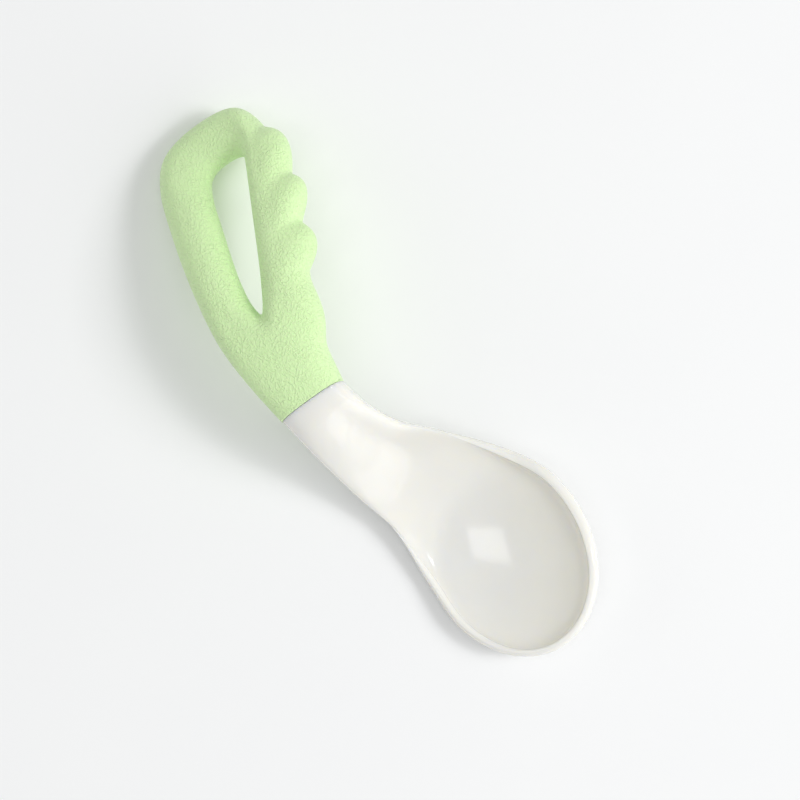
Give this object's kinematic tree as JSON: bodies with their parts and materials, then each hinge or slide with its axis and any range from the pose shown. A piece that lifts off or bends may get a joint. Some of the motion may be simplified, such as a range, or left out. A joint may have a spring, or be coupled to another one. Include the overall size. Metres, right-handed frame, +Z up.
{
  "type": "baby spoon",
  "caption": "Baby spoon: a white glossy bowl and neck, and a green grained loop handle with finger bumps, bent to the right.",
  "frame": {"origin": "centre of the small flat under the bowl, which the spoon rests on", "axes": "+X from the end of the handle to the tip of the bowl; +Y to the side of the finger bumps; +Z up from the table, as the spoon rests"},
  "size_m": [0.1382, 0.0447, 0.0265],
  "materials": {
    "head_plastic": "glossy, slightly warm white",
    "core_plastic": "matte",
    "grip_rubber": "matte with a fine moulded grain"
  },
  "bodies": {
    "root": {"spoon_head": "head_plastic", "handle_core": "core_plastic", "grip": "grip_rubber"}
  },
  "joints": []
}
